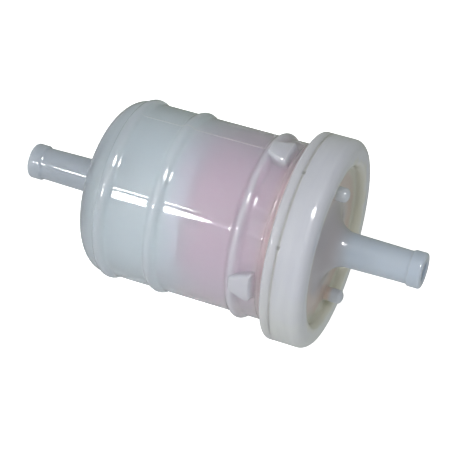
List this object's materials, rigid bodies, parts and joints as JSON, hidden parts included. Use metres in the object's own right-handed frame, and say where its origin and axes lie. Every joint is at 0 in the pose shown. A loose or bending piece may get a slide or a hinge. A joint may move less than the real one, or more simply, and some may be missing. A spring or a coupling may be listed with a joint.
{
  "type": "in-line fuel filter",
  "caption": "Sealed in-line fuel filter for a small engine: round translucent housing, welded cover, pleated paper element inside and a hose barb at each end.",
  "frame": {"origin": "on the flow axis, at half the overall length", "axes": "+X along the flow, from the inlet port to the outlet port; +Z through one of the drive lugs"},
  "size_m": [0.102, 0.0512, 0.0512],
  "materials": {
    "housing_nylon": "translucent natural nylon, smooth moulded gloss",
    "cover_nylon": "milky natural nylon, slightly yellowed, smooth moulded gloss",
    "filter_paper": "pink resin-cured filter paper, matt",
    "cap_nylon": "natural nylon, matt",
    "core_nylon": "white moulded nylon, matt",
    "adhesive": "tan potting adhesive",
    "seal_rubber": "black nitrile rubber"
  },
  "bodies": {
    "root": {"inlet_housing": "housing_nylon", "outlet_cover": "cover_nylon", "closed_end_cap": "cap_nylon", "closed_end_adhesive": "adhesive", "pleated_paper": "filter_paper", "pleat_seam_glue": "adhesive", "core_tube": "core_nylon", "open_end_adhesive": "adhesive", "open_end_cap": "cap_nylon", "element_seal": "seal_rubber"}
  },
  "joints": []
}
